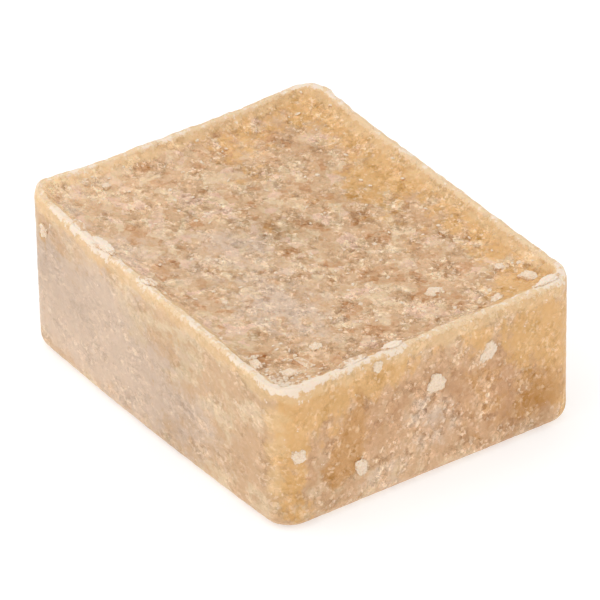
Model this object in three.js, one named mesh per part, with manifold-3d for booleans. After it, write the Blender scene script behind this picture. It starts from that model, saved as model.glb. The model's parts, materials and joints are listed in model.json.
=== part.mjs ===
// A rosin cake: one oblong block of cloudy resin cast in an open mould, with pale flakes of
// crystallised resin bedded in its pour surface, its rim and two of its sides.
// Millimetres, +Z up. The origin is the middle of the underside, and +X runs along the long side.
import * as THREE from "three";
import { ParametricGeometry } from "three/addons/geometries/ParametricGeometry.js";
import { mergeVertices } from "three/addons/utils/BufferGeometryUtils.js";
import Module from "manifold-3d";

const wasm = await Module();
wasm.setup();

// The block's outline and edges.
const LENGTH = 31.5;
const WIDTH = 25;
const CORNER_RADIUS = 2.1;
const BOTTOM_RADIUS = 1.05;
const FRONT_BOW = 0.35; // how far the foot of the long front side bows outwards at its middle
const BOW_TOP = 7.2; // the height at which that side is straight again

// The rim: the mould stood slightly out of level, and the resin climbed its wall, higher or lower
// at each corner.
const RIM_HEIGHT = 12;
const SLOPE_ALONG_X = -0.037;
const SLOPE_ALONG_Y = 0.011;
const CORNER_REACH = 4;
const CORNER_RISES = [
  { x: -LENGTH / 2, y: -WIDTH / 2, rise: 0.33 },
  { x: LENGTH / 2, y: -WIDTH / 2, rise: -0.16 },
  { x: LENGTH / 2, y: WIDTH / 2, rise: 0.02 },
  { x: -LENGTH / 2, y: WIDTH / 2, rise: 0.35 },
];
const SHOULDER_DROP = 0.45; // the rim's outer edge is rounded over this height
const SHOULDER_WIDTH = 0.32; // and over this width
const CREST_WIDTH = 0.25;

// The dished pour surface inside the rim.
const CLIMB = 0.9; // from the foot of the inner slope up to the crest
const CLIMB_REACH = 0.8; // how far the slope spreads inwards
const CENTRE_SAG = 0.5;

// Flakes are thin plates, part bedded and part proud, each in a pocket that it fits with a gap.
const FLAKE_BEDDED = 0.3;
const FLAKE_PROUD = 0.12;
const POCKET_GAP = 0.04;
const POCKET_HEADROOM = 1.2;
const FLAKE_OUTLINE = [1, 0.84, 1.07, 0.9, 1.02, 0.78, 0.95, 1.1, 0.86]; // radius at equal angles

// Steps round a quarter corner, and along a long and a short side.
const CORNER_STEPS = 6;
const LONG_STEPS = 18;
const SHORT_STEPS = 14;

const { clamp, lerp } = THREE.MathUtils;

// Height of the rim's crest over a point of the plan.
function rimLevel(x, y) {
  return CORNER_RISES.reduce((level, corner) => {
    const distance = Math.hypot(x - corner.x, y - corner.y) / CORNER_REACH;
    return level + corner.rise * Math.exp(-distance * distance);
  }, RIM_HEIGHT + SLOPE_ALONG_X * x + SLOPE_ALONG_Y * y);
}

// Height of the pour surface: a crest along the walls, a slope that dies away, a sagging middle.
function pourHeight(x, y) {
  const crest = SHOULDER_WIDTH + CREST_WIDTH;
  const climbFrom = (gap) => Math.exp(-(gap - crest) / CLIMB_REACH);
  const climbed = climbFrom(LENGTH / 2 - Math.abs(x)) + climbFrom(WIDTH / 2 - Math.abs(y));
  const middle = (1 - (2 * x / LENGTH) ** 2) * (1 - (2 * y / WIDTH) ** 2);
  return rimLevel(x, y) - CLIMB * Math.max(0, 1 - climbed) - CENTRE_SAG * middle;
}

// The stops round the outline, anticlockwise from the end of the +X side: through the turn of each
// corner, then along the side to the next corner.
function shares(count) {
  return Array.from({ length: count }, (_, k) => k / count);
}
const STOPS = [0, 1, 2, 3].flatMap((corner) => [
  ...shares(CORNER_STEPS).map((turn) => ({ corner, turn, along: 0 })),
  ...shares(corner % 2 === 0 ? LONG_STEPS : SHORT_STEPS).map((along) => ({ corner, turn: 1, along })),
]);

// A point of the rounded oblong at an inset from the walls, shrunk about its centre by scale.
function outlinePoint({ corner, turn, along }, inset, scale) {
  const halfLength = LENGTH / 2 - inset;
  const halfWidth = WIDTH / 2 - inset;
  const radius = CORNER_RADIUS * (halfWidth / (WIDTH / 2));
  const onArc = (k, share) => {
    const sideX = k % 4 === 0 || k % 4 === 3 ? 1 : -1;
    const sideY = k % 4 < 2 ? 1 : -1;
    const angle = (k + share) * (Math.PI / 2);
    return new THREE.Vector2(
      sideX * (halfLength - radius) + radius * Math.cos(angle),
      sideY * (halfWidth - radius) + radius * Math.sin(angle),
    );
  };
  return onArc(corner, turn).lerp(onArc(corner + 1, 0), along).multiplyScalar(scale);
}

// The long front side stands a little further out at its foot.
function bowed(point, z) {
  const foot = clamp(1 - z / BOW_TOP, 0, 1);
  const middle = Math.max(0, 1 - (2 * point.x / LENGTH) ** 2);
  const towardsFront = clamp(-2 * point.y / WIDTH, 0, 1);
  return point.y - FRONT_BOW * foot * middle * towardsFront;
}

// The section, from the middle of the underside, up the wall and over the crest, to the middle of
// the pour surface: each station is an inset and scale in plan, and a height over a plan point.
function sectionStations() {
  const flat = (scale) => ({ inset: BOTTOM_RADIUS, scale, height: () => 0 });
  const stations = [flat(0), flat(0.5), flat(0.85)];
  for (let k = 0; k <= 4; k++) {
    const angle = (k / 4) * (Math.PI / 2);
    const height = BOTTOM_RADIUS * (1 - Math.cos(angle));
    stations.push({ inset: BOTTOM_RADIUS * (1 - Math.sin(angle)), scale: 1, height: () => height });
  }
  for (const share of [0.3, 0.65, 1]) {
    const height = (x, y) => lerp(BOTTOM_RADIUS, rimLevel(x, y) - SHOULDER_DROP, share);
    stations.push({ inset: 0, scale: 1, height });
  }
  for (let k = 1; k <= 3; k++) {
    const angle = (k / 3) * (Math.PI / 2);
    const drop = SHOULDER_DROP * (1 - Math.sin(angle));
    const inset = SHOULDER_WIDTH * (1 - Math.cos(angle));
    stations.push({ inset, scale: 1, height: (x, y) => rimLevel(x, y) - drop });
  }
  const crest = SHOULDER_WIDTH + CREST_WIDTH;
  for (const reaches of [0, 0.35, 0.8, 1.4, 2.3]) {
    stations.push({ inset: crest + reaches * CLIMB_REACH, scale: 1, height: pourHeight });
  }
  const slopeFoot = crest + 3.5 * CLIMB_REACH;
  for (const scale of [1, 0.8, 0.6, 0.4, 0.2, 0]) {
    stations.push({ inset: slopeFoot, scale, height: pourHeight });
  }
  return stations;
}

// A closed geometry as a solid: shared vertices merged, and triangles that closed up dropped.
function toSolid(geometry) {
  const bare = geometry.clone();
  bare.deleteAttribute("normal");
  bare.deleteAttribute("uv");
  const merged = mergeVertices(bare, 1e-5);
  const triVerts = [];
  const index = merged.index.array;
  for (let i = 0; i < index.length; i += 3) {
    const [a, b, c] = index.slice(i, i + 3);
    if (a !== b && b !== c && c !== a) triVerts.push(a, b, c);
  }
  return new wasm.Manifold(new wasm.Mesh({
    numProp: 3,
    vertProperties: merged.getAttribute("position").array,
    triVerts: new Uint32Array(triVerts),
  }));
}

function toGeometry(solid) {
  const { vertProperties, triVerts } = solid.getMesh();
  const geometry = new THREE.BufferGeometry();
  geometry.setAttribute("position", new THREE.BufferAttribute(new Float32Array(vertProperties), 3));
  geometry.setIndex(new THREE.BufferAttribute(new Uint32Array(triVerts), 1));
  geometry.computeVertexNormals();
  return geometry;
}

function blockSolid() {
  const stations = sectionStations();
  const surface = (u, v, target) => {
    const station = stations[Math.round(v * (stations.length - 1))];
    const stop = STOPS[Math.round(u * STOPS.length) % STOPS.length];
    const plan = outlinePoint(stop, station.inset, station.scale);
    const z = station.height(plan.x, plan.y);
    target.set(plan.x, bowed(plan, z), z);
  };
  return toSolid(new ParametricGeometry(surface, STOPS.length, stations.length - 1));
}

// A place on the end wall, which turns towards the front or back where the corners are round.
function endWall(y) {
  const round = Math.abs(y) - (WIDTH / 2 - CORNER_RADIUS);
  const turn = Math.asin(clamp(round / CORNER_RADIUS, 0, 1)) * Math.sign(y);
  const x = LENGTH / 2 - CORNER_RADIUS * (1 - Math.cos(turn));
  return { x, out: [Math.cos(turn), Math.sin(turn), 0] };
}

// Where the flakes lie. A face reads a place on it and gives the point and the outward direction:
// the end face by y and z, the front face by x and z, the pour surface and the rim by x and y.
const FACES = {
  end: (y, z) => ({ point: [endWall(y).x, y, z], out: endWall(y).out, up: [0, 0, 1] }),
  front: (x, z) => ({ point: [x, -WIDTH / 2, z], out: [0, -1, 0], up: [0, 0, 1] }),
  pour: (x, y) => ({ point: [x, y, pourHeight(x, y)], out: [0, 0, 1], up: [0, 1, 0] }),
  rim: (x, y) => ({ point: [x, y, rimLevel(x, y)], out: [0, 0, 1], up: [0, 1, 0] }),
};

// place is in the face's own pair of directions, size is across and up it, turn is in degrees.
const FLAKES = [
  { name: "end_flake_broad", face: "end", place: [0.3, 7.5], size: [1.6, 1.2], turn: 0 },
  { name: "end_flake_ragged", face: "end", place: [4.8, 8.3], size: [1.6, 1.15], turn: 48 },
  { name: "end_flake_round", face: "end", place: [-11, 5.9], size: [0.95, 1], turn: 20 },
  { name: "end_flake_faint", face: "end", place: [-5.9, 3.1], size: [0.9, 1.2], turn: 10 },
  { name: "end_flake_under_rim", face: "end", place: [-4.4, 10.6], size: [0.8, 0.8], turn: 40 },
  { name: "front_flake_upper", face: "front", place: [-13.2, 10.2], size: [0.75, 0.95], turn: 0 },
  { name: "pour_flake_tall", face: "pour", place: [12.9, 10.4], size: [1.5, 0.7], turn: 30 },
  { name: "pour_flake_edge", face: "pour", place: [13.8, 6.9], size: [0.7, 1], turn: 20 },
  { name: "pour_flake_slim", face: "pour", place: [10.5, 9.6], size: [0.7, 0.8], turn: 60 },
  { name: "pour_flake_pale", face: "pour", place: [10.2, 4.3], size: [1, 1.1], turn: 15 },
  { name: "pour_flake_streak", face: "pour", place: [12.2, -8], size: [1.7, 0.5], turn: 10 },
  { name: "pour_flake_grain", face: "pour", place: [11, -6.2], size: [0.8, 0.9], turn: 35 },
  { name: "pour_flake_wedge", face: "pour", place: [-13.7, -6.9], size: [0.8, 0.8], turn: 75 },
  { name: "pour_flake_narrow", face: "pour", place: [-14.5, -8.2], size: [0.9, 0.45], turn: 60 },
  { name: "corner_crumb_inner", face: "pour", place: [12.7, -9.5], size: [1, 0.8], turn: 50 },
  { name: "corner_crumb_middle", face: "pour", place: [12.3, -10.7], size: [0.8, 0.6], turn: 15 },
  { name: "corner_crumb_outer", face: "pour", place: [10.9, -11], size: [1.1, 0.7], turn: 5 },
  { name: "rim_crust_front_thick", face: "rim", place: [-6.3, -11.9], size: [2.3, 0.75], turn: 2 },
  { name: "rim_crust_front_thin", face: "rim", place: [-9.5, -11.9], size: [1.3, 0.55], turn: -4 },
  { name: "rim_crust_front_mid", face: "rim", place: [-0.9, -11.9], size: [1.2, 0.6], turn: 6 },
  { name: "rim_crust_end_long", face: "rim", place: [15.15, -6.1], size: [0.6, 2], turn: 2 },
  { name: "rim_crust_end_mid", face: "rim", place: [15.15, -2.8], size: [0.7, 1.3], turn: -5 },
  { name: "rim_crust_end_corner", face: "rim", place: [15, 10.4], size: [0.65, 1.7], turn: 8 },
];

// A plate of the flakes' common outline, from below the surface to above it, grown by a margin.
function plateGeometry(size, below, above, margin) {
  const points = FLAKE_OUTLINE.map((radius, k) => {
    const angle = (k / FLAKE_OUTLINE.length) * 2 * Math.PI;
    const reach = (half) => half * radius + margin;
    return new THREE.Vector2(
      reach(size[0] / 2) * Math.cos(angle),
      reach(size[1] / 2) * Math.sin(angle),
    );
  });
  const plate = new THREE.ExtrudeGeometry(new THREE.Shape(points), {
    depth: below + above,
    bevelEnabled: false,
  });
  return plate.translate(0, 0, -below);
}

// The placement of a flake: its own X runs across the face, its Z points out of it.
function flakePlacement({ face, place, turn }) {
  const spot = FACES[face](...place);
  const out = new THREE.Vector3(...spot.out);
  const up = new THREE.Vector3(...spot.up);
  const across = up.clone().cross(out);
  return new THREE.Matrix4()
    .makeBasis(across, up, out)
    .setPosition(...spot.point)
    .multiply(new THREE.Matrix4().makeRotationZ(THREE.MathUtils.degToRad(turn)));
}

const bodyMaterial = new THREE.MeshStandardMaterial({
  color: 0xd8b087,
  roughness: 0.55,
  metalness: 0,
});
const flakeMaterial = new THREE.MeshStandardMaterial({
  color: 0xe6d3bd,
  roughness: 0.6,
  metalness: 0,
});

const rosinCake = new THREE.Group();
let block = blockSolid();

for (const flake of FLAKES) {
  const placement = flakePlacement(flake);
  const pocket = plateGeometry(
    flake.size,
    FLAKE_BEDDED + POCKET_GAP,
    POCKET_HEADROOM,
    POCKET_GAP,
  ).applyMatrix4(placement);
  block = block.subtract(toSolid(pocket));
  const plate = plateGeometry(flake.size, FLAKE_BEDDED, FLAKE_PROUD, 0);
  const mesh = new THREE.Mesh(plate, flakeMaterial.clone());
  mesh.name = flake.name;
  mesh.applyMatrix4(placement);
  rosinCake.add(mesh);
}

const body = new THREE.Mesh(toGeometry(block), bodyMaterial);
body.name = "cake_body";
rosinCake.add(body);

export default rosinCake;
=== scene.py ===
"""A bare cake of cloudy, crystalline rosin: a cast block with a dished pour surface, a crumbly
raised rim, and pale flakes bedded in it, on a pale floor under soft studio light."""
import json
import math

import bmesh
import bpy
import numpy as np
from mathutils import Matrix, Vector


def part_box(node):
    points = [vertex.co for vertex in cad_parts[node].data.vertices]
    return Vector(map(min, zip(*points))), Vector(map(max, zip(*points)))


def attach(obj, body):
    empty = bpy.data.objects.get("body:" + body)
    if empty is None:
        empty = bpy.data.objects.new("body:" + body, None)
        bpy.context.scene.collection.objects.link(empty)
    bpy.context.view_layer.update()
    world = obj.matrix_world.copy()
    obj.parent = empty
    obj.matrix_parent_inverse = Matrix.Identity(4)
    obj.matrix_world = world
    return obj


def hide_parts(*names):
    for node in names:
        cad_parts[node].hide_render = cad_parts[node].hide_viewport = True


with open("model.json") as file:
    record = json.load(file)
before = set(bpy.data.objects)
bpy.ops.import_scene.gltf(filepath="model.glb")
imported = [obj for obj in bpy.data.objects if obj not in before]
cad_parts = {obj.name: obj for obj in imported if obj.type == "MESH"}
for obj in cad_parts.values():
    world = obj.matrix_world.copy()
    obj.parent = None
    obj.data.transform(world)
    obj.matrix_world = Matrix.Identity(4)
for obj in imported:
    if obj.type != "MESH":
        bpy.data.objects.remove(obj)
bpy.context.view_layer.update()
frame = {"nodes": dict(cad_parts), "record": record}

MM = 0.001  # the shapes below are worked out in millimetres and made in metres

# ---------------------------------------------------------------- the block's driving sizes, mm
body_low, body_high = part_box("cake_body")
LENGTH = (body_high.x - body_low.x) / MM
WIDTH = 2 * body_high.y / MM
CORNER_RADIUS = 2.1
BOTTOM_RADIUS = 1.05
BOW_UNDER_EDGE = 0.03  # the front side bows out this much further under its rounded foot
FRONT_BOW = -body_low.y / MM - WIDTH / 2 + BOW_UNDER_EDGE
BOW_TOP = 7.2  # the front side is upright above this height
RIM_HEIGHT = 12.0
SLOPE_ALONG_X = -0.037
SLOPE_ALONG_Y = 0.011
CORNER_REACH = 4.0
CORNER_RISES = ((-1, -1, 0.33), (1, -1, -0.16), (1, 1, 0.02), (-1, 1, 0.35))
SHOULDER_DROP = 0.45  # the round shoulder between the wall and the crest
SHOULDER_WIDTH = 0.32
CREST_WIDTH = 0.25
CLIMB = 0.9  # how far the resin climbed the mould wall
CLIMB_REACH = 0.8
CENTRE_SAG = 0.5

# ---------------------------------------------------------------- the fine mesh
TOP_CELLS = (232, 184)  # along the long and the short side
WALL_ROWS = 54
FILLET_ROWS = 7
EDGE_FINENESS = 0.3  # how much closer the top's cells lie near the rim than in the middle
UNDERSIDE_RINGS = (0.985, 0.955, 0.89, 0.78, 0.62, 0.44, 0.26, 0.1)  # shares of the outline
UNDERSIDE_HALVINGS = 4  # so many of those rings have half the points of the one before

# ---------------------------------------------------------------- the fine relief, mm
LAYER_SHIFT = 7.3  # sets each finer layer of noise apart from the one before
POUR_WAVES = (4.0, 0.07, 11, 3)  # lump size, height, seed and layers of noise
ALL_WAVES = (5.0, 0.04, 12, 2)
CREST_CRUMBS = (0.8, 0.12, 70, 3)
SHARD_LAYERS = ((0.62, 0.08, 20), (0.32, 0.05, 40))  # width, lift and seed
SHARD_TILT = 0.4
SHARD_CREVICE = (0.5, 0.12)  # depth as a share of the lift, and reach as a share of the width
SHARD_ZONES = (2.2, 5)  # the shards stand out more in some zones: size and seed
SHARD_STRENGTHS = (0.25, 1.25)
PIT_DEPTH = 0.1
PIT_NOISE = (0.55, 1, 60, 2)
PIT_LEVELS = (0.35, 0.75)
WALL_RELIEF = 0.2  # the walls' share of the pour surface's relief
POUR_EDGE = (0.35, 1.1)  # insets where the pour surface's relief begins, and where it is whole
FOOT_FADE = (-0.3, 0.6)  # heights that the relief fades in between, so that the foot is flat

# ---------------------------------------------------------------- flakes and loose grains, mm
FLAKE_FINENESS = 5  # subdivisions of the ball that a flake is made from
FLAKE_FLATNESS = 0.5  # power of the ball's height: 1 is round, less is flat with a blunt edge
FLAKE_SPREAD = 1.12  # width as a share of the CAD plate's
# Lumps in a flake's outline: size in radii, share of the radius, and step from its seed.
FLAKE_LUMPS = ((0.8, 0.26, 0), (0.35, 0.22, 1), (0.16, 0.12, 4))
FLAKE_GRAIN = (0.2, 0.03, 2, 2)  # lump size, height, step from its seed, and layers
FLAKE_SEED = 100
FLAKE_SEED_STEP = 9
GRAIN_FINENESS = 1
GRAIN_SEED = 17
GRAINS_ANYWHERE = 110
GRAINS_IN_CORNER = 90
GRAIN_MARGIN = 0.9
GRAIN_CORNER_SPREAD = (2.0, 1.6)
GRAIN_CORNER_INSETS = (1.0, 6.0)
GRAIN_SIZES = (0.08, 0.2)  # half widths
GRAIN_SHAPE = (1.25, 1, 0.7)
GRAIN_TILT = 0.3
GRAIN_UNEVENNESS = (0.75, 1.2)

# ---------------------------------------------------------------- colours, as seen on a screen
TAN = (215, 177, 137)
RUSSET = (201, 150, 103)
CREAM = (228, 200, 162)
PINK = (231, 193, 165)
HONEY = (226, 177, 114)
DEEP_AMBER = (205, 153, 94)
WARM_TAN = (206, 152, 106)
FROST = (220, 192, 166)
BLOOM = (247, 229, 210)
# painted highlight and glow: the thin pale line along the crest
PAINTED_CREST_LIGHT = (240, 211, 172)
RIM_HONEY = (231, 193, 143)
# painted shade in the pits and fine cracks of the surface
PAINTED_CREVICE_SHADE = (152, 112, 76)
# painted highlight: the colour of the glints on the flakes
PAINTED_GLINT = (250, 229, 202)
FLAKE_PALE = (246, 224, 200)
FLAKE_SHADE = (226, 198, 168)

# ---------------------------------------------------------------- where the colours lie, mm
# Each place is x, y, z and reach, then strength.
END = LENGTH / 2 - 0.25  # just inside the end face
FAR_END = -END
FRONT = -WIDTH / 2
BACK = WIDTH / 2
# Clear golden resin.
HONEY_PLACES = (
    # pour surface
    (-9, 11.5, 12, 2.6, 0.8), (-3, 12, 12, 3, 1), (13, 11, 11.3, 2, 0.5),
    (3, 12, 12, 2.6, 0.8), (8, 11.5, 12, 3, 0.9), (14, 8, 11.5, 2.8, 0.75),
    (-15, 9, 12.5, 3, 0.4), (-13, 4, 12, 3, 0.45), (-4, 7.5, 11.5, 3, 0.5),
    (0, 7.5, 11.4, 2.2, 0.3), (3.5, 7, 11.3, 2.2, 0.35), (-13.5, 10.5, 12.5, 2.5, 0.5),
    (-9, 2.5, 11.6, 2.5, 0.3),
    # end face
    (15.8, -11.8, 8.5, 1.8, 0.9), (15.8, -11.6, 6, 1.6, 0.85), (15.8, -11.4, 3.5, 1.6, 0.6),
    (15.8, -11.2, 1, 1.6, 0.5), (END, -8.2, 9.6, 1.8, 0.85), (END, -5.5, 9.8, 1.6, 0.8),
    (END, -3, 9.6, 1.6, 0.6), (END, 4, 9.5, 1.5, 0.5), (END, 7.5, 8.5, 2, 0.6),
    (15.7, -10.5, 10, 1.5, 0.5), (END, 10.8, 8.8, 1.8, 0.7), (END, 11.2, 6.2, 1.8, 0.8),
    (END, 11.3, 3.6, 1.8, 0.7), (END, 11.4, 1.2, 1.6, 0.5), (END, -4, 10.5, 1.5, 0.45),
    (END, 0, 10.5, 1.8, 0.4), (END, 3.5, 10.5, 1.5, 0.3), (END, 8, 6.5, 1.8, 0.45),
    (END, -8, 6.8, 1.6, 0.45),
    # front side
    (-7.5, FRONT, 10.5, 1.8, 0.35), (3, FRONT, 10.8, 2.2, 0.45), (-4.5, FRONT, 10.8, 1.5, 0.45),
    (-13.5, FRONT, 10, 1.8, 0.25),
    # far end
    (FAR_END, 3, 9, 3, 0.5), (FAR_END, -9, 7, 2.5, 0.5),
    # back side
    (-4, BACK, 8, 3.5, 0.5), (11, BACK, 6, 3, 0.5),
)
# Deeper amber.
AMBER_PLACES = (
    # pour surface
    (-2.5, 7.5, 11.5, 2.2, 0.4), (-3, 0.5, 11.3, 2, 0.45), (3.5, -3, 11, 1.6, 0.3),
    # end face
    (END, -6, 8.8, 1, 0.6), (END, -6.3, 7.4, 1, 0.5), (END, -6.6, 6, 1.3, 0.8),
    (END, -7.2, 4.6, 1.5, 1), (END, -7.8, 3.3, 1.3, 0.8), (END, -3.5, 6.5, 1.5, 0.4),
    (END, 4.5, 6.5, 2.4, 0.4), (END, 8.5, 3.5, 3, 0.6), (END, 11, 3.5, 1.6, 0.5),
    (END, 3, 2.5, 2.5, 0.3),
    # far end
    (FAR_END, 6, 5, 2.5, 0.6), (FAR_END, -3, 4, 2, 0.4),
    # back side
    (5, BACK, 4, 2.5, 0.5), (-11, BACK, 6, 2.5, 0.5),
)
# A soft wash of a warmer tan.
WARM_PLACES = (
    # end face
    (END, -8, 6, 4.5, 0.5), (END, -1, 6.5, 4.5, 0.45), (END, 6, 5, 5, 0.6),
    (END, 10, 9, 3, 0.3),
    # far end
    (FAR_END, -5, 6, 6, 0.3), (FAR_END, 6, 6, 6, 0.4),
    # back side
    (-8, BACK, 5, 6, 0.3), (6, BACK, 5, 7, 0.35),
)
# Frosted, pinkish resin.
FROST_PLACES = (
    # pour surface
    (-3, -3.5, 11, 3.5, 0.6), (3, -3.5, 11, 3, 0.35), (5, -7, 11, 2.5, 0.3),
    (9.5, -5, 11, 3, 0.35), (-14, -6, 12, 4, 0.15), (-9, 10.5, 12, 2, 0.4),
    (-4.5, 10.5, 12, 2, 0.4), (6, -5, 11, 3.5, 0.4), (-12, -11, 11.5, 3, 0.2),
    (-6, -10.5, 11.5, 3, 0.3), (0, -10.5, 11.3, 3, 0.2),
    # end face
    (END, 0.5, 4, 2.4, 0.55), (END, -4, 1.5, 2.2, 0.5), (END, -1, 6.5, 1.6, 0.4),
    # front side
    (FAR_END, FRONT, 5, 4.5, 0.9), (-11, FRONT, 5, 4, 0.7), (-5, FRONT, 4, 4.5, 0.8),
    (1, FRONT, 4, 4.5, 0.6), (7, FRONT, 4, 4, 0.4), (-6, FRONT, 8.5, 3.5, 0.5),
)
# Where the whole tone is lighter or darker: a strength of 1 is 40 screen steps.
LIGHTER_PLACES = (
    # pour surface
    (-14, -5, 12, 3.5, 0.4), (-14, -11, 12, 2.8, 0.6), (-5, -11, 11.4, 2.5, 0.4),
    (1, -11, 11.2, 2.5, 0.3), (9, 7, 11, 2, 0.2), (12.5, -7, 11, 2, 0.3),
    (-13, 4, 11.6, 2, 0.15), (-5, 3.5, 11.4, 1.5, 0.3), (-9, -11, 11.6, 2.5, 0.2),
    (0, -7, 11.2, 1.6, -0.25), (-3, 7, 11.4, 3, -0.3), (-3, 0, 11.2, 2.8, -0.45),
    # end face
    (END, -2, 9.5, 1.8, 0.3), (END, 2.5, 9, 2, 0.3), (END, 8.5, 1.8, 2.8, -0.6),
    (END, -3.5, 6.5, 1.5, -0.3), (END, -8, 9, 2.5, -0.15), (END, -3, 10, 2, -0.25),
    (END, 1, 7.5, 2.5, -0.3), (END, 4, 9, 3, -0.15), (END, 8, 6.5, 2.5, -0.15),
    (END, -10.5, 2, 3, -0.35), (END, 12, 3, 2.5, 0.25),
    # front side
    (4, FRONT, 9, 1.8, -0.3), (13, FRONT, 10.8, 2.2, -0.2), (-14, FRONT, 8, 2.5, -0.15),
    (-5, FRONT, 11, 1.5, -0.3), (-14, FRONT, 9.5, 3, -0.5), (-9, FRONT, 8, 3.5, -0.15),
    (0, FRONT, 8, 4, -0.2), (3, FRONT, 2, 3.5, -0.35), (10, FRONT, 3, 3, -0.12),
    (-10, FRONT, 6, 6, -0.2), (0, FRONT, 5, 6, -0.15), (9, FRONT, 6, 5, -0.15),
)
# Where the grain is coarser, or finer if the strength is below 0.
GRAINY_PLACES = (
    # end face
    (END, -1, 5, 5, 0.35), (END, -7, 4, 3, 0.2), (END, 6, 3, 4, 0.2),
    # front side
    (-9, FRONT, 9, 6, -0.2), (4, FRONT, 9, 6, -0.2), (-12, FRONT, 4, 4, -0.1),
    # far end
    (FAR_END, 0, 5, 5, 0.2),
    # back side
    (6, BACK, 5, 5, 0.2),
)
# White powder on the crest of the rim.
RIM_BLOOM_PLACES = (
    (15, -12, 11, 2.6, 1), (10.5, FRONT, 11, 2.4, 0.6), (5.5, FRONT, 11, 1.6, 0.4),
    (0.5, FRONT, 11.5, 1.6, 0.35), (END, -7.5, 11, 2.2, 0.75), (END, -3.5, 11, 1.2, 0.5),
    (-4, FRONT, 12, 1.8, 0.55), (-8, FRONT, 12, 2.2, 0.9), (-11.5, FRONT, 12, 1.2, 0.5),
    (END, 11.5, 11, 2.4, 0.7), (FAR_END, 12, 13, 2.6, 0.7), (FAR_END, -8, 13, 2, 0.6),
    (FAR_END, -1, 13, 1.5, 0.5),
)
# The clear edge under the rim also runs down the front right corner.
CLEAR_EDGE_PLACES = (
    (14.9, -12.4, 9, 1.5, 0.8), (14.8, -12.4, 6.5, 1.4, 0.7), (14.9, -12.4, 4, 1.5, 0.7),
    (15, -12.3, 1.5, 1.4, 0.6), (9, FRONT, 10, 1.4, 0.4), (2, FRONT, 10.2, 1.2, 0.4),
)
# White powder that has run a little way down the end face.
WALL_BLOOM_PLACES = (
    (15.75, -11, 10.4, 0.5, 0.4), (15.75, -9.9, 10.5, 0.5, 0.7),
)
RIM_BLOOM_EVERYWHERE = 0.1
BLOOM_WIDTHS = (0.12, 0.36)  # of the powder line where the bloom is thinnest and thickest
BLOOM_STRENGTHS = (0.35, 1.0)
CRUST_BLOOM = 0.9  # in and just around the boxes of the thick crusts
CRUST_SPREAD = 0.35
INNER_SLOPE_SHARE = 1.4  # inside the crest, an inset counts this many times as much as a drop
CRUMBLE_REACH = 0.5  # how far from the crest the crumbs, the painted crest light and the clear edge go
# reach of the painted highlight and glow along the crest
PAINTED_CREST_LIGHT_REACH = 0.3
UNDER_RIM_REACH = 1.3
PIT_CONTRAST = 2.5  # change in the pit mark for each mm of relief

# ---------------------------------------------------------------- the grain of the materials
# Noises: lump size in mm, layers of detail, and how rough the finer layers are.
HUE_CLOUDS = (1.8, 4.0, 0.6)
GRAINY_ZONES = (1.7, 4.0, 0.6)
CRACK_LINES = (0.55, 3.0, 0.6)
GLOSS_ZONES = (0.3, 3.0, 0.55)
FINE_BUMPS = (0.12, 2.0, 0.7)
FLAKE_MOTTLE = (0.14, 3.0, 0.7)
# Noises that push a level up and down, with how far they push it in all.
RAGGED_FRAY = (1.2, 4.0, 0.65, 1.6)
STREAK_FRAY = (0.8, 3.0, 0.6, 0.7)
RIM_FRAY = (1.4, 4.0, 0.6, 1.4)
CREST_LIGHT_FRAY = (0.4, 4.0, 0.7, 2.6)
POWDER_FRAY = (0.6, 4.0, 0.75, 3.2)
RIND_FRAY = (0.35, 4.0, 0.7, 2.2)
FINE_TONE = (0.1, 2.0, 0.7, 0.26)
SOFT_TONE = (0.8, 3.0, 0.65, 0.3)
# Noises that push places about, and how far in mm.
FLAKE_WARP = ((0.4, 2.0, 0.5), 0.3)
PATCH_WARPS = (((1.1, 2.0, 0.5), 0.9), ((0.35, 2.0, 0.5), 0.3))
WALL_STRETCH = (0.65, 0.95, 0.9)  # the mould drew the crystals out along the walls
STREAK_STRETCH = (1, 1, 0.14)

# Veils: the levels that a veil of colour fades in between, and its fullest cover.
FROST_VEIL = (0.2, 0.8, 1.0)
CLEAR_VEIL = (0.3, 0.7, 0.9)
RIM_VEIL = (0.4, 0.75, 0.75)
CREST_LIGHT_VEIL = (0.5, 0.8, 0.8)
POWDER_VEIL = (0.45, 0.75, 0.85)
RIND_VEIL = (0.7, 1.1, 0.9)
PAINTED_GLINT_VEIL = (0.8, 0.9, 0.32)

HUE_STOPS = ((0.2, RUSSET), (0.4, TAN), (0.54, TAN), (0.66, CREAM), (0.8, PINK))
HUE_CRYSTALS = ((1.5, 0.42), (0.75, 0.36))  # size in mm and weight
CLOUD_WEIGHT = 0.22
CLOUD_CONTRAST = 2.2
WALL_HUES = (0.34, 0.72)  # the walls keep to this stretch of the stops
ZONE_LEVELS = (0.38, 0.62)
ZONE_GRAIN = (0.3, 1.5)  # the grain's strength in the quietest and in the busiest zones
WALL_GRAIN = 0.6  # its share on the walls, against 1 on the pour surface
CLEAR_GRAIN = 0.7
MARKED_GRAIN = (0.3, 1.7)
TONE_FLAKES = ((0.7, 0.17), (0.42, 0.22), (0.2, 0.16))  # size in mm and weight
# size of the flakes that carry a painted glint
PAINTED_GLINT_SIZE = 0.2
STEP_TO_LIGHT = (0.85, 0.67, 0.49)  # 120 screen steps of a honey colour in linear light
LIGHTER_WEIGHT = 0.33  # 40 of those 120 steps
# Painted shade in the pits of the relief and along fine cracks:
PIT_LEVELS_SHOWN = (0.12, 0.4)  # of the pit mark, which is 0.5 where there is no relief
PIT_SHADE = 0.3
CRACK_WIDTH = 0.03
CRACK_SHADE = 0.42
FULL_POWDER = 0.8  # cover at which the tone and the painted crack shade show least through the powder
POWDERED_TONE = 0.3
POWDERED_CREVICE_SHADE = 0.2

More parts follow.
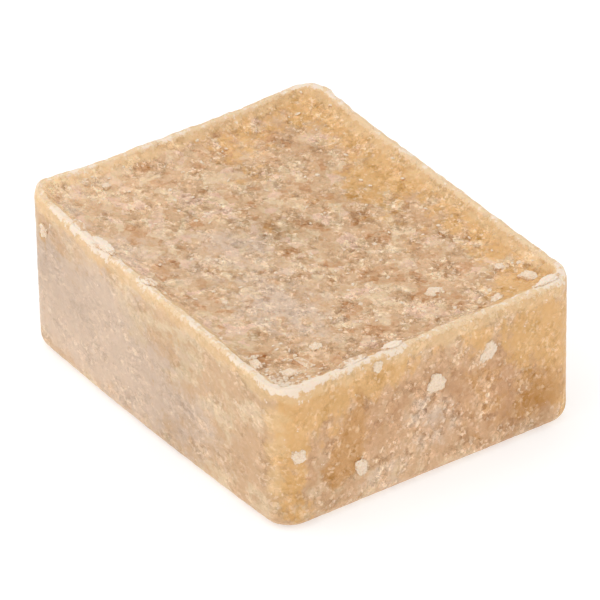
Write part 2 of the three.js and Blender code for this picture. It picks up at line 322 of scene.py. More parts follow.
GLOSS_LEVELS = (0.3, 0.7)
RESIN_ROUGHNESS = (0.38, 0.62)
RESIN_IOR = 1.54
RESIN_GLOW = (0.2, (1.0, 0.55, 0.25), 0.4)  # share, reach of red, green and blue, depth in mm
FINE_BUMP = (0.4, 0.05)  # strength, and depth in mm
CELL_BUMP = (0.3, 0.06)
CELL_BUMP_SIZE = 0.25
FLAKE_BUMP = (0.6, 0.05)
FLAKE_ROUGHNESS = 0.6
FLAKE_GLOW = (0.3, (1.0, 0.7, 0.45), 0.3)
MOTTLE_LEVELS = (0.3, 0.6)

# ---------------------------------------------------------------- the picture, metres and degrees
CAMERA_AZIMUTH = 55.75
CAMERA_ELEVATION = 31.81
CAMERA_ROLL = -1.31
CAMERA_DISTANCE = 0.38
CAMERA_LENS = 326.6  # focal length in mm
CAMERA_SENSOR = 36.0  # width in mm
CAMERA_CLIP = (0.01, 10.0)
AIM_RIGHT = 0.00007
AIM_UP = 0.00032
FLOOR_SIDE = 4.0
FLOOR_COLOUR = 0.6
FLOOR_ROUGHNESS = 0.9
FLOOR_GLOW = 0.52
LIGHT_DISTANCE = 0.6
LIGHT_SIZE = 0.5
LIGHT_AZIMUTH = -15
LIGHT_ELEVATION = 64
LIGHT_POWER = 0.9
WORLD_STRENGTH = 0.84
WHITE = (1, 1, 1, 1)  # red, green, blue and cover


# ================================================================ repeatable noise
def hashed(cells, seed):
    """A repeatable number from 0 to 1 for each whole-numbered cell."""
    spread = np.array([73856093, 19349663, 83492791], np.int64)  # large primes keep cells apart
    mixed = (cells.astype(np.int64) * spread).sum(-1) + seed * 2654435761
    mixed = (mixed & 0xFFFFFFFF).astype(np.uint32)
    for shift, factor in ((16, 0x7FEB352D), (15, 0x846CA68B)):
        mixed = (mixed ^ (mixed >> np.uint32(shift))) * np.uint32(factor)
    return (mixed ^ (mixed >> np.uint32(16))) / 2.0**32


def smooth_noise(points, size, seed):
    """Soft noise from -1 to 1 whose lumps are about size across."""
    scaled = points / size
    base = np.floor(scaled)
    part = scaled - base
    part = part * part * (3 - 2 * part)
    total = np.zeros(len(points))
    for corner in np.ndindex(2, 2, 2):
        weight = np.prod(np.where(corner, part, 1 - part), axis=1)
        total += weight * hashed(base + corner, seed)
    return 2 * total - 1


def layered_noise(points, size, seed, layers):
    """Smooth noise with finer and fainter noise on top of it."""
    total = np.zeros(len(points))
    for k in range(layers):
        total += smooth_noise(points + LAYER_SHIFT * k, size / 2**k, seed + k) / 2**k
    return total / (2 - 2 ** (1 - layers))


def waves(points, kind):
    """Layered noise of one kind: lump size, height, seed and layers."""
    size, height, seed, layers = kind
    return height * layered_noise(points, size, seed, layers)


def shards(points, size, seed):
    """Space broken into cells about size across: how near the edge a point is (0 at the edge),
    three repeatable numbers for its cell, and the way from the cell's centre to the point."""
    scaled = points / size
    base = np.floor(scaled)
    nearest = np.full(len(points), np.inf)
    second = nearest.copy()
    owner = np.zeros_like(scaled)
    away = np.zeros_like(scaled)
    for corner in np.ndindex(3, 3, 3):
        cell = base + corner - 1
        jitter = np.stack([hashed(cell, seed + k) for k in range(3)], axis=1)
        gap = scaled - cell - jitter
        distance = np.linalg.norm(gap, axis=1)
        closer = distance < nearest
        second = np.where(closer, nearest, np.minimum(second, distance))
        nearest = np.where(closer, distance, nearest)
        owner[closer] = cell[closer]
        away[closer] = gap[closer]
    own = np.stack([hashed(owner, seed + 10 + k) for k in range(3)], axis=1)
    return second - nearest, own, away * size


def ramp(value, low, high):
    """0 below low, 1 above high, and a smooth rise between."""
    part = np.clip((value - low) / (high - low), 0, 1)
    return part * part * (3 - 2 * part)


def near(distance, reach):
    """1 at no distance, falling softly to nothing at about twice the reach."""
    return np.exp(-((distance / reach) ** 2))


def between(share, ends):
    """From one end to the other as the share goes from 0 to 1."""
    start, end = ends
    return start + (end - start) * share


# ================================================================ the cake's form
def rim_level(x, y):
    """Height of the rim's crest over a point of the plan."""
    level = RIM_HEIGHT + SLOPE_ALONG_X * x + SLOPE_ALONG_Y * y
    for side_x, side_y, rise in CORNER_RISES:
        gap = np.hypot(x - side_x * LENGTH / 2, y - side_y * WIDTH / 2)
        level = level + rise * near(gap, CORNER_REACH)
    return level


def pour_height(x, y):
    """Height of the pour surface: crest, inner slope and sagging middle."""
    crest = SHOULDER_WIDTH + CREST_WIDTH
    from_end = LENGTH / 2 - np.abs(x) - crest
    from_side = WIDTH / 2 - np.abs(y) - crest
    climbed = np.exp(-from_end / CLIMB_REACH) + np.exp(-from_side / CLIMB_REACH)
    middle = (1 - (2 * x / LENGTH) ** 2) * (1 - (2 * y / WIDTH) ** 2)
    return rim_level(x, y) - CLIMB * np.maximum(0, 1 - climbed) - CENTRE_SAG * middle


def top_height(x, y, inset):
    """Height of the top anywhere: rounded over near the wall, the pour surface inside that."""
    over = np.clip(1 - inset / SHOULDER_WIDTH, 0, 1)
    shoulder = rim_level(x, y) - SHOULDER_DROP * (1 - np.sqrt(1 - over**2))
    return np.where(inset < SHOULDER_WIDTH, shoulder, pour_height(x, y))


def inset_from_wall(x, y):
    """How far inside the oblong a point of the plan lies."""
    return np.minimum(LENGTH / 2 - np.abs(x), WIDTH / 2 - np.abs(y))


def rounded_plan(x, y):
    """Moves points of an oblong so that its outline, and each line inside it, has round corners."""
    straight_x, straight_y = LENGTH / 2 - CORNER_RADIUS, WIDTH / 2 - CORNER_RADIUS
    run_x, run_y = np.abs(x) - straight_x, np.abs(y) - straight_y
    in_corner = (run_x > 0) & (run_y > 0)
    reach = np.hypot(run_x, run_y)
    pull = np.where(in_corner, np.maximum(run_x, run_y) / np.maximum(reach, 1e-9), 1)
    new_x = np.where(in_corner, straight_x + run_x * pull, np.abs(x))
    new_y = np.where(in_corner, straight_y + run_y * pull, np.abs(y))
    return new_x * np.sign(x), new_y * np.sign(y)


def spaced(count, length):
    """Places along a length, centred on 0 and closer together near its ends."""
    share = np.linspace(-1, 1, count + 1)
    return length / 2 * (share + EDGE_FINENESS * np.sin(np.pi * share) / np.pi)


def bow(points):
    """The foot of the long front side stands a little further out."""
    foot = np.clip(1 - points[:, 2] / BOW_TOP, 0, 1)
    middle = np.clip(1 - (2 * points[:, 0] / LENGTH) ** 2, 0, 1)
    forward = np.clip(-2 * points[:, 1] / WIDTH, 0, 1)
    points[:, 1] -= FRONT_BOW * foot * middle * forward


def wall_rows(rim):
    """Rows of points that hang from the top's outline, one under the other, and then turn under."""
    rows = []
    for share in np.linspace(1, 0, WALL_ROWS + 1)[1:]:
        row = rim.copy()
        row[:, 2] = BOTTOM_RADIUS + share * (rim[:, 2] - BOTTOM_RADIUS)
        rows.append(row)
    straight = np.array([LENGTH / 2 - CORNER_RADIUS, WIDTH / 2 - CORNER_RADIUS])
    outward = rim[:, :2] - np.clip(rim[:, :2], -straight, straight)
    outward /= np.linalg.norm(outward, axis=1, keepdims=True)
    for k in range(1, FILLET_ROWS + 1):
        angle = k / FILLET_ROWS * math.pi / 2
        row = rim.copy()
        row[:, :2] -= outward * BOTTOM_RADIUS * (1 - math.cos(angle))
        row[:, 2] = BOTTOM_RADIUS * (1 - math.sin(angle))
        rows.append(row)
    return rows


def cake_form():
    """The smooth block: vertices in mm, faces, and each vertex's inset from the wall in plan."""
    across, up = TOP_CELLS
    grid_x, grid_y = np.meshgrid(spaced(across, LENGTH), spaced(up, WIDTH))
    inset = inset_from_wall(grid_x, grid_y).ravel()
    x, y = (side.ravel() for side in rounded_plan(grid_x, grid_y))
    points = [np.stack([x, y, top_height(x, y, inset)], axis=1)]
    number = np.arange(len(x)).reshape(up + 1, across + 1)
    corners = [number[:-1, :-1], number[:-1, 1:], number[1:, 1:], number[1:, :-1]]
    faces = np.stack(corners, axis=-1).reshape(-1, 4).tolist()

    # The top's outline, anticlockwise from above, and the wall under it.
    above = np.concatenate([number[0, :-1], number[:-1, -1], number[-1, :0:-1], number[:0:-1, 0]])
    count = len(x)
    rows = wall_rows(points[0][above])
    for row in rows:
        below = np.arange(count, count + len(row))
        sides = [above, below, np.roll(below, -1), np.roll(above, -1)]
        faces += np.stack(sides, axis=-1).tolist()
        points.append(row)
        above, count = below, count + len(row)

    # The underside: rings shrinking to the middle, the first few with half as many points each.
    edge, step = rows[-1], 1
    for ring, scale in enumerate(UNDERSIDE_RINGS):
        halved = ring < UNDERSIDE_HALVINGS
        step *= 2 if halved else 1
        row = edge[::step] * (scale, scale, 1)
        below = np.arange(count, count + len(row))
        after = np.roll(below, -1)
        if halved:
            first, second = above.reshape(-1, 2).T
            sides = [first, below, after, np.roll(first, -1), second]
        else:
            sides = [above, below, after, np.roll(above, -1)]
        faces += np.stack(sides, axis=-1).tolist()
        points.append(row)
        above, count = below, count + len(row)
    faces.append(above[::-1].tolist())

    points = np.concatenate(points)
    bow(points)
    return points, faces, np.pad(inset, (0, len(points) - len(inset)))


def outward_normals(points, faces):
    """A smooth outward direction at each vertex."""
    total = np.zeros_like(points)
    for sides in (3, 4, 5):
        group = np.array([face for face in faces if len(face) == sides])
        if len(group):
            corners = points[group]
            across = np.cross(corners[:, 2] - corners[:, 0], corners[:, -1] - corners[:, 1])
            for k in range(sides):
                np.add.at(total, group[:, k], across)
    total[np.linalg.norm(total, axis=1) == 0] = (0, 0, -1)
    return total / np.linalg.norm(total, axis=1, keepdims=True)


# ================================================================ making and placing pieces
def add_object(name, data):
    """A new object in the scene."""
    thing = bpy.data.objects.new(name, data)
    bpy.context.scene.collection.objects.link(thing)
    return thing


def make_mesh(name, points, faces):
    """A mesh object from vertices in mm."""
    mesh = bpy.data.meshes.new(name)
    mesh.from_pydata((points * MM).tolist(), [], faces)
    mesh.validate()
    return add_object(name, mesh)


def mark(piece, name, values):
    """Stores a number from 0 to 1 for each vertex, for the material to read."""
    attribute = piece.data.attributes.new(name, "FLOAT", "POINT")
    attribute.data.foreach_set("value", np.clip(values, 0, 1).astype(np.float32))


def settle(piece, slot, *nodes):
    """Gives a piece its finish, and its place in the model."""
    piece.data.materials.append(FINISHES[slot])
    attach(piece, "root")
    if nodes:
        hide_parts(*nodes)


# ================================================================ the cake's surface
def spots(points, places):
    """How much of the marked places covers each point."""
    total = np.zeros(len(points))
    for x, y, z, reach, strength in places:
        total += strength * near(np.linalg.norm(points - (x, y, z), axis=1), reach)
    return total


def around(node, points):
    """1 inside the box of a node, fading to 0 a little way outside it."""
    low, high = (np.array(corner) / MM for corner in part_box(node))
    outside = np.maximum(0, np.maximum(low - points, points - high))
    return near(np.linalg.norm(outside, axis=1), CRUST_SPREAD)


def relief(points, on_pour, on_rim):
    """Height of the fine surface in mm: tilted shards and pits on top, a fine skin on the walls."""
    here = between(on_pour, (WALL_RELIEF, 1))
    size, seed = SHARD_ZONES
    strength = between((smooth_noise(points, size, seed) + 1) / 2, SHARD_STRENGTHS) * here
    depth, reach = SHARD_CREVICE
    height = waves(points, POUR_WAVES) * on_pour + waves(points, ALL_WAVES)
    for width, lift, seed in SHARD_LAYERS:
        edge, own, away = shards(points, width, seed)
        tilt = SHARD_TILT * ((own - 0.5) * away).sum(axis=1)
        crevice = -depth * lift * np.exp(-edge / reach)
        height += (lift * (own[:, 0] - 0.5) + tilt + crevice) * strength
    height -= PIT_DEPTH * ramp(waves(points, PIT_NOISE), *PIT_LEVELS) * here
    return height + on_rim * waves(points, CREST_CRUMBS)


def powder_on(points, from_crest):
    """White powder: a line along the crest, the crust around each thick patch, and a few runs."""
    bloom = np.minimum(RIM_BLOOM_EVERYWHERE + spots(points, RIM_BLOOM_PLACES), 1)
    line = near(from_crest, between(bloom, BLOOM_WIDTHS)) * between(bloom, BLOOM_STRENGTHS)
    powder = line + spots(points, WALL_BLOOM_PLACES)
    for row in frame["record"]["subparts"]:
        if row["material_slot"] == "rim_bloom":
            powder = np.maximum(powder, CRUST_BLOOM * around(row["node"], points))
    return powder


def make_cake():
    """The block: its form, its relief, and the marks that its material reads."""
    points, faces, inset = cake_form()
    normals = outward_normals(points, faces)
    below_crest = rim_level(points[:, 0], points[:, 1]) - points[:, 2]
    inside = np.maximum(0, inset - SHOULDER_WIDTH - CREST_WIDTH)
    from_crest = np.where(inside > 0, inside * INNER_SLOPE_SHARE, np.maximum(0, below_crest))
    on_pour = ramp(inset, *POUR_EDGE)
    height = relief(points, on_pour, near(from_crest, CRUMBLE_REACH))
    height *= ramp(points[:, 2], *FOOT_FADE)
    points = points + normals * height[:, None]
    points[:, 2] = np.maximum(points[:, 2], 0)
    cake = make_mesh("resin_block", points, faces)
    mark(cake, "pour", on_pour)
    mark(cake, "wall", inset < SHOULDER_WIDTH)
    mark(cake, "pit", 0.5 + PIT_CONTRAST * height)
    mark(cake, "crest", near(from_crest, PAINTED_CREST_LIGHT_REACH))
    mark(cake, "bloom", powder_on(points, from_crest))
    under_rim = near(from_crest, UNDER_RIM_REACH)
    mark(cake, "under_rim", np.maximum(under_rim, spots(points, CLEAR_EDGE_PLACES)))
    mark(cake, "honey", spots(points, HONEY_PLACES))
    mark(cake, "amber", spots(points, AMBER_PLACES))
    mark(cake, "frost", spots(points, FROST_PLACES))
    mark(cake, "warm", spots(points, WARM_PLACES))
    mark(cake, "lighter", 0.5 + spots(points, LIGHTER_PLACES))
    mark(cake, "grainy", 0.5 + spots(points, GRAINY_PLACES))
    cake.data.shade_smooth()
    settle(cake, "cast_resin", "cake_body")


# ================================================================ flakes and grains
def round_form(fineness):
    """Vertices of a ball of radius 1, and its faces."""
    ball = bmesh.new()
    bmesh.ops.create_icosphere(ball, subdivisions=fineness, radius=1)
    points = np.array([vertex.co for vertex in ball.verts])
    faces = [[vertex.index for vertex in face.verts] for face in ball.faces]
    ball.free()
    return points, faces


def make_flake(node, slot, seed):
    """A lumpy, thin flake where the CAD has a plate, lying the way that the plate lies."""
    plate = np.array([vertex.co for vertex in frame["nodes"][node].data.vertices]) / MM
    centre = (plate.max(axis=0) + plate.min(axis=0)) / 2
    ways = np.linalg.svd(plate - plate.mean(axis=0), full_matrices=False)[2]
    halves = np.ptp(plate @ ways.T, axis=0) / 2 * (FLAKE_SPREAD, FLAKE_SPREAD, 1)
    ball, faces = round_form(FLAKE_FINENESS)
    flat = ball.copy()
    flat[:, 2] = np.sign(ball[:, 2]) * np.abs(ball[:, 2]) ** FLAKE_FLATNESS
    lumps = np.ones(len(ball))
    for size, share, step in FLAKE_LUMPS:
        lumps += share * smooth_noise(ball, size, seed + step)
    points = centre + (flat * lumps[:, None] * halves) @ ways
    size, height, step, layers = FLAKE_GRAIN
    grain = height * layered_noise(points, size, seed + step, layers)
    points += ball @ ways * grain[:, None]
    flake = make_mesh(node + "_grown", points, faces)
    mark(flake, "rind", np.hypot(ball[:, 0], ball[:, 1]) ** 2)
    flake.data.shade_smooth()
    settle(flake, slot, node)


def make_grains():
    """Loose angular grains lying on the pour, most of them in the corner that the resin sank to."""
    chance = np.random.default_rng(GRAIN_SEED)
    room = (LENGTH / 2 - GRAIN_MARGIN, WIDTH / 2 - GRAIN_MARGIN)
    anywhere = chance.uniform(-1, 1, (GRAINS_ANYWHERE, 2)) * room
    least, most = GRAIN_CORNER_INSETS
    corner = np.abs(chance.normal(0, 1, (GRAINS_IN_CORNER, 2))) * GRAIN_CORNER_SPREAD + least
    corner = np.minimum(corner, most) * (-1, 1) + (LENGTH / 2, -WIDTH / 2)
    x, y = np.concatenate([anywhere, corner]).T
    inset = inset_from_wall(x, y)
    beds = np.column_stack([x, y, top_height(x, y, inset)])
    beds[:, 2] += relief(beds, ramp(inset, *POUR_EDGE), np.zeros(len(beds)))
    ball, ball_faces = round_form(GRAIN_FINENESS)
    points, faces = [], []
    for bed in beds:
        halves = chance.uniform(*GRAIN_SIZES, 3) * GRAIN_SHAPE
        turn = chance.uniform(0, 2 * math.pi)
        tilt = chance.uniform(-GRAIN_TILT, GRAIN_TILT)
        along = np.array([math.cos(turn), math.sin(turn), tilt])
        aside = np.cross((0, 0, 1), along)
        ways = np.array([along, aside, np.cross(along, aside)])
        unevenness = chance.uniform(*GRAIN_UNEVENNESS, (len(ball), 1))
        faces += [[k + len(points) * len(ball) for k in face] for face in ball_faces]
        points.append(bed + (ball * unevenness * halves) @ ways)
    grains = make_mesh("loose_grains", np.concatenate(points), faces)
    settle(grains, "pale_flake")


# ================================================================ materials
def screen(red, green, blue):
    """A colour as it reads on a screen, 0 to 255, turned into linear light."""
    def linear(value):
        value /= 255  # and then the usual curve of sRGB
        return value / 12.92 if value <= 0.04045 else ((value + 0.055) / 1.055) ** 2.4
    return (linear(red), linear(green), linear(blue), 1.0)


class Graph:
    """A material, and short ways to add nodes to it."""

    def __init__(self, name):
        self.material = bpy.data.materials.new(name)
        self.material.use_nodes = True
        self.nodes, self.links = self.material.node_tree.nodes, self.material.node_tree.links
        self.shader = self.nodes["Principled BSDF"]
        self.place = self.nodes.new("ShaderNodeTexCoord").outputs["Object"]

    def put(self, value, socket):
        """Plugs a socket in, or sets a constant."""
        if isinstance(value, bpy.types.NodeSocket):
            self.links.new(value, socket)
        else:
            socket.default_value = value

    def shade(self, name, value):
        """Plugs something into the shader, or sets a constant on its own socket."""
        self.put(value, self.shader.inputs[name])

    def let_light_in(self, share, reach, depth):
        """Lets some light a little way under the surface: reach per colour, depth in mm."""
        self.shade("Subsurface Weight", share)
        self.shade("Subsurface Radius", reach)
        self.shade("Subsurface Scale", depth * MM)

    def math(self, kind, *values):
        node = self.nodes.new("ShaderNodeMath")
        node.operation = kind
        for value, socket in zip(values, node.inputs):
            self.put(value, socket)
        return node.outputs[0]

    def vector(self, kind, *values):
        node = self.nodes.new("ShaderNodeVectorMath")
        node.operation = kind
        for value, socket in zip(values, node.inputs):
            self.put(value, socket)
        return node.outputs["Vector"]

    def add(self, a, b):
        return self.math("ADD", a, b)

    def total(self, *parts):
        """Adds (value from 0 to 1, weight) pairs up, each as its distance from a half."""
        middle = -sum(weight for value, weight in parts) / 2
        for value, weight in parts:
            middle = self.math("MULTIPLY_ADD", value, weight, middle)
        return middle

    def rise(self, value, low, high, low_out=0.0, high_out=1.0):
        """A smooth rise of value between two levels."""
        node = self.nodes.new("ShaderNodeMapRange")
        node.interpolation_type = "SMOOTHSTEP"
        for name, number in (
            ("From Min", low), ("From Max", high), ("To Min", low_out), ("To Max", high_out),
        ):
            node.inputs[name].default_value = number
        self.links.new(value, node.inputs["Value"])
        return node.outputs["Result"]

    def mark(self, name):
        """The number that each vertex carries under a name."""
        node = self.nodes.new("ShaderNodeAttribute")
        node.attribute_name = name
        return node.outputs["Fac"]

    def stretched(self, stretch):
        """The place on the object, stretched along its axes."""
        mapping = self.nodes.new("ShaderNodeMapping")
        mapping.inputs["Scale"].default_value = stretch
        self.links.new(self.place, mapping.inputs["Vector"])
        return mapping.outputs["Vector"]

    def warped(self, place, warp):
        """A place pushed about by noise, so that straight edges turn ragged."""
        kind, push = warp
        lumps = self.noise_node(kind, place).outputs["Color"]
        return self.vector("MULTIPLY_ADD", lumps, (push * MM,) * 3, place)

    def noise_node(self, kind, place):
        size, detail, rough = kind
        node = self.nodes.new("ShaderNodeTexNoise")
        node.inputs["Scale"].default_value = 1 / (size * MM)
        node.inputs["Detail"].default_value = detail
        node.inputs["Roughness"].default_value = rough
        self.links.new(place, node.inputs["Vector"])
        return node

    def noise(self, kind, place=None):
        """Cloudy noise from 0 to 1."""
        return self.noise_node(kind, place or self.place).outputs["Fac"]

    def swing(self, kind, place=None):
        """Noise that swings either side of 0: a noise, then how far it swings in all."""
        *kind, strength = kind
        return self.total((self.noise(kind, place), strength))

    def cells(self, size, place):
        """Space broken into shards about size mm across, each with a colour of its own."""
        node = self.nodes.new("ShaderNodeTexVoronoi")
        node.inputs["Scale"].default_value = 1 / (size * MM)
        self.links.new(place, node.inputs["Vector"])
        return node

    def own(self, size, place):
        """A number from 0 to 1 that each shard has for itself."""
        split = self.nodes.new("ShaderNodeSeparateColor")
        self.links.new(self.cells(size, place).outputs["Color"], split.inputs["Color"])
        return split.outputs["Red"]

    def mix(self, share, a, b):
        node = self.nodes.new("ShaderNodeMix")
        node.data_type = "RGBA"
        self.put(share, node.inputs["Factor"])
        self.put(a, node.inputs["A"])
        self.put(b, node.inputs["B"])
        return node.outputs["Result"]

    def cover(self, level, veil):
        """How much a veil covers where it has a level."""
        low, high, most = veil
        return self.rise(level, low, high, 0.0, most)

    def veiled(self, colour, tint, level, veil):
        """A colour with a veil of tint on it, and how much the veil covers."""
        share = self.cover(level, veil)
        return self.mix(share, colour, screen(*tint)), share

    def colours(self, value, stops):
        """A colour ramp: stops are (place, colour)."""
        node = self.nodes.new("ShaderNodeValToRGB")
        ramp_stops = node.color_ramp.elements
        while len(ramp_stops) < len(stops):
            ramp_stops.new(0.5)
        for stop, (place, colour) in zip(ramp_stops, stops):
            stop.position = place
            stop.color = screen(*colour)
        self.links.new(value, node.inputs["Fac"])
        return node.outputs["Color"]

    def lighter(self, colour, amount):
        """A colour made lighter or darker by the same number of screen steps in each channel."""
        shifted = self.vector("MULTIPLY_ADD", amount, STEP_TO_LIGHT, colour)
        return self.vector("MINIMUM", self.vector("MAXIMUM", shifted, (0, 0, 0)), (1, 1, 1))

    def bump(self, height, bump, under=None):
        strength, depth = bump
        node = self.nodes.new("ShaderNodeBump")
        node.inputs["Strength"].default_value = strength
        node.inputs["Distance"].default_value = depth * MM
        self.links.new(height, node.inputs["Height"])
        if under:
            self.links.new(under, node.inputs["Normal"])
        return node.outputs["Normal"]


def crystal_hues(g, patchy, pour):
    """Crystals a millimetre or so across, each with a hue of its own, and clouds on the walls."""
    cloud = g.math("SUBTRACT", g.noise(HUE_CLOUDS, patchy), 0.5)
    cloud = g.math("MULTIPLY_ADD", cloud, CLOUD_CONTRAST, 0.5)
    crystals = g.math("MULTIPLY", cloud, CLOUD_WEIGHT)
    for size, weight in HUE_CRYSTALS:
        crystals = g.math("MULTIPLY_ADD", g.own(size, patchy), weight, crystals)
    clouds = g.rise(cloud, 0.0, 1.0, *WALL_HUES)
    hue = g.math("MULTIPLY_ADD", g.math("SUBTRACT", crystals, clouds), pour, clouds)
    return g.colours(hue, HUE_STOPS)


def frosted_and_clear(g, colour, patchy):
    """Frost, and clear golden and amber resin, which ends in ragged, streaky edges.
    Returns the colour, and how clear the resin is."""
    ragged = g.swing(RAGGED_FRAY, patchy)
    streaky = g.add(ragged, g.swing(STREAK_FRAY, g.stretched(STREAK_STRETCH)))
    under_rim = g.add(g.mark("under_rim"), g.swing(RIM_FRAY, patchy))
    colour = g.mix(g.mark("warm"), colour, screen(*WARM_TAN))
    colour, _ = g.veiled(colour, FROST, g.add(g.mark("frost"), ragged), FROST_VEIL)
    colour, golden = g.veiled(colour, HONEY, g.add(g.mark("honey"), streaky), CLEAR_VEIL)
    colour, amber = g.veiled(colour, DEEP_AMBER, g.add(g.mark("amber"), streaky), CLEAR_VEIL)
    colour, rim = g.veiled(colour, RIM_HONEY, under_rim, RIM_VEIL)
    return colour, g.math("MAXIMUM", g.math("MAXIMUM", golden, amber), rim)


def grain_strength(g, drawn, pour, clear):
    """How much the grain shows: in zones, and less on the walls and where the resin is clear."""
    strength = g.rise(g.noise(GRAINY_ZONES, drawn), *ZONE_LEVELS, *ZONE_GRAIN)
    for level, at_none, at_full in (
        (pour, WALL_GRAIN, 1.0), (clear, 1.0, CLEAR_GRAIN), (g.mark("grainy"), *MARKED_GRAIN),
    ):
        strength = g.math("MULTIPLY", strength, g.rise(level, 0.0, 1.0, at_none, at_full))
    return strength


def resin_material():
    """Cloudy, crystalline, waxy resin, with powder on the crest of its rim."""
    g = Graph("cast_resin")
    pour = g.mark("pour")
    drawn = g.mix(g.mark("wall"), g.place, g.stretched(WALL_STRETCH))
    flaky = g.warped(drawn, FLAKE_WARP)
    patchy = drawn
    for warp in PATCH_WARPS:
        patchy = g.warped(patchy, warp)
    colour, clear = frosted_and_clear(g, crystal_hues(g, patchy, pour), patchy)

    # Flat flakes, each with a tone of its own, and painted glints: bright specks of painted
    # highlight on some of them.
    grain = grain_strength(g, drawn, pour, clear)
    tone = g.total(*((g.own(size, flaky), weight) for size, weight in TONE_FLAKES))
    tone = g.add(tone, g.swing(FINE_TONE, drawn))
    tone = g.math("MULTIPLY", g.add(tone, g.swing(SOFT_TONE, flaky)), grain)
    tone = g.add(tone, g.total((g.mark("lighter"), LIGHTER_WEIGHT)))
    painted_glints = g.cover(g.own(PAINTED_GLINT_SIZE, flaky), PAINTED_GLINT_VEIL)
    colour = g.mix(g.math("MULTIPLY", painted_glints, grain), colour, screen(*PAINTED_GLINT))

    # The crest: a thin, broken pale line of painted highlight and of painted glow where light
    # passes through the thin rim, and white powder that lies on it in places.
    crest = g.add(g.mark("crest"), g.swing(CREST_LIGHT_FRAY))
    bloom = g.add(g.mark("bloom"), g.swing(POWDER_FRAY))
    colour, line = g.veiled(colour, PAINTED_CREST_LIGHT, crest, CREST_LIGHT_VEIL)
    colour, powder = g.veiled(colour, BLOOM, bloom, POWDER_VEIL)
    pale = g.math("MAXIMUM", powder, line)
    tone = g.math("MULTIPLY", tone, g.rise(pale, 0.0, FULL_POWDER, 1.0, POWDERED_TONE))
    colour = g.lighter(colour, tone)

    # Painted shade in the pits of the relief and along fine cracks, which the powder fills.
    shown = g.rise(powder, 0.0, FULL_POWDER, 1.0, POWDERED_CREVICE_SHADE)
    shown = g.math("MULTIPLY", shown, grain)
    pit = g.rise(g.mark("pit"), *PIT_LEVELS_SHOWN, PIT_SHADE, 0.0)
    from_crack = g.math("ABSOLUTE", g.math("SUBTRACT", g.noise(CRACK_LINES, drawn), 0.5))
    crack_shade = g.rise(from_crack, 0.0, CRACK_WIDTH, CRACK_SHADE, 0.0)
    for crevice_shade in (pit, crack_shade):
        colour = g.mix(g.math("MULTIPLY", crevice_shade, shown), colour, screen(*PAINTED_CREVICE_SHADE))

    g.shade("Base Color", colour)
    g.shade("Roughness", g.rise(g.noise(GLOSS_ZONES), *GLOSS_LEVELS, *RESIN_ROUGHNESS))
    fine = g.bump(g.noise(FINE_BUMPS, drawn), FINE_BUMP)
    g.shade("Normal", g.bump(g.cells(CELL_BUMP_SIZE, flaky).outputs["Distance"], CELL_BUMP, fine))
    g.shade("IOR", RESIN_IOR)
    g.let_light_in(*RESIN_GLOW)
    return g.material


def flake_material(name, pale, shade):
    """Dull, mottled, pale resin, with a tan rind in places."""
    g = Graph(name)
    mottle = g.noise(FLAKE_MOTTLE)
    low, high = MOTTLE_LEVELS
    colour = g.colours(mottle, ((low, shade), (high, pale)))
    rind = g.add(g.mark("rind"), g.swing(RIND_FRAY))
    colour, _ = g.veiled(colour, TAN, rind, RIND_VEIL)
    g.shade("Base Color", colour)
    g.shade("Normal", g.bump(mottle, FLAKE_BUMP))
    g.shade("Roughness", FLAKE_ROUGHNESS)
    g.let_light_in(*FLAKE_GLOW)
    return g.material


# ================================================================ floor, light and camera
def direction(azimuth, elevation):
    """From the cake towards a place at that azimuth and elevation, in degrees."""
    a, e = math.radians(azimuth), math.radians(elevation)
    return Vector((math.sin(a) * math.cos(e), -math.cos(a) * math.cos(e), math.sin(e)))


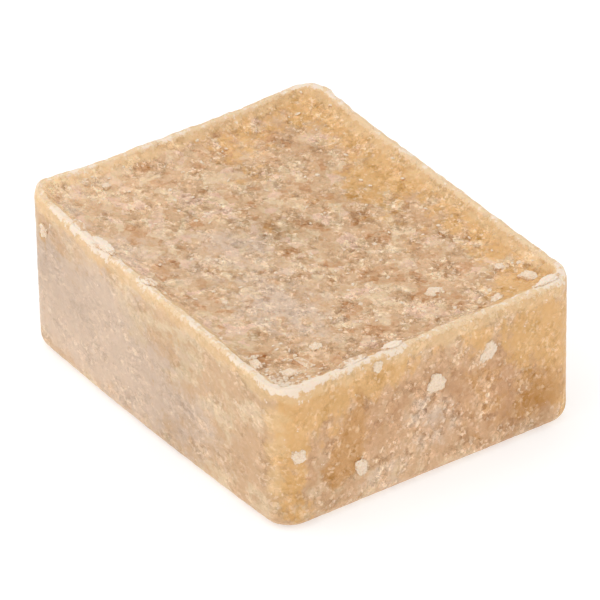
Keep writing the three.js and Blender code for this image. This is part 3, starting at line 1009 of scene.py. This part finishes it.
def make_floor():
    """A plain floor that glows a little, so that the cake's shadow all but vanishes."""
    half = FLOOR_SIDE / 2 / MM
    corners = np.array([(-half, -half, 0), (half, -half, 0), (half, half, 0), (-half, half, 0)])
    floor = make_mesh("floor", corners, [(0, 1, 2, 3)])
    g = Graph("floor")
    g.shade("Base Color", (FLOOR_COLOUR, FLOOR_COLOUR, FLOOR_COLOUR, 1))
    g.shade("Roughness", FLOOR_ROUGHNESS)
    g.shade("Specular IOR Level", 0.0)
    g.shade("Emission Color", WHITE)
    g.shade("Emission Strength", FLOOR_GLOW)
    floor.data.materials.append(g.material)


def make_light():
    """A square softbox aimed at the cake."""
    lamp = bpy.data.lights.new("key", "AREA")
    lamp.energy = LIGHT_POWER
    lamp.size = LIGHT_SIZE
    light = add_object("key", lamp)
    away = direction(LIGHT_AZIMUTH, LIGHT_ELEVATION)
    light.location = away * LIGHT_DISTANCE
    light.rotation_mode = "QUATERNION"
    light.rotation_quaternion = away.to_track_quat("Z", "Y")


def make_world():
    """White light from all round."""
    world = bpy.data.worlds.new("studio")
    world.use_nodes = True
    background = world.node_tree.nodes["Background"]
    background.inputs["Color"].default_value = WHITE
    background.inputs["Strength"].default_value = WORLD_STRENGTH
    bpy.context.scene.world = world


def make_camera():
    """The camera, which was fitted to the block's outline as it was photographed."""
    back = direction(CAMERA_AZIMUTH, CAMERA_ELEVATION)
    level = Vector((0, 0, 1)).cross(back).normalized()
    right = Matrix.Rotation(math.radians(CAMERA_ROLL), 3, back) @ level
    up = back.cross(right)
    lens = bpy.data.cameras.new("camera")
    lens.sensor_width = CAMERA_SENSOR
    lens.lens = CAMERA_LENS
    lens.clip_start, lens.clip_end = CAMERA_CLIP
    camera = add_object("camera", lens)
    aim = Vector((0, 0, RIM_HEIGHT * MM / 2)) + right * AIM_RIGHT + up * AIM_UP
    turned = Matrix((right, up, back)).transposed().to_4x4()
    camera.matrix_world = Matrix.Translation(aim + back * CAMERA_DISTANCE) @ turned
    bpy.context.scene.camera = camera


make_camera()
make_floor()
make_light()
make_world()
bpy.context.scene.view_settings.view_transform = "Standard"

FINISHES = {
    "cast_resin": resin_material(),
    "pale_flake": flake_material("pale_flake", FLAKE_PALE, FLAKE_SHADE),
    "rim_bloom": flake_material("rim_bloom", BLOOM, FLAKE_PALE),
}
make_cake()
for number, row in enumerate(frame["record"]["subparts"]):
    if row["node"] != "cake_body":
        make_flake(row["node"], row["material_slot"], FLAKE_SEED + FLAKE_SEED_STEP * number)
make_grains()
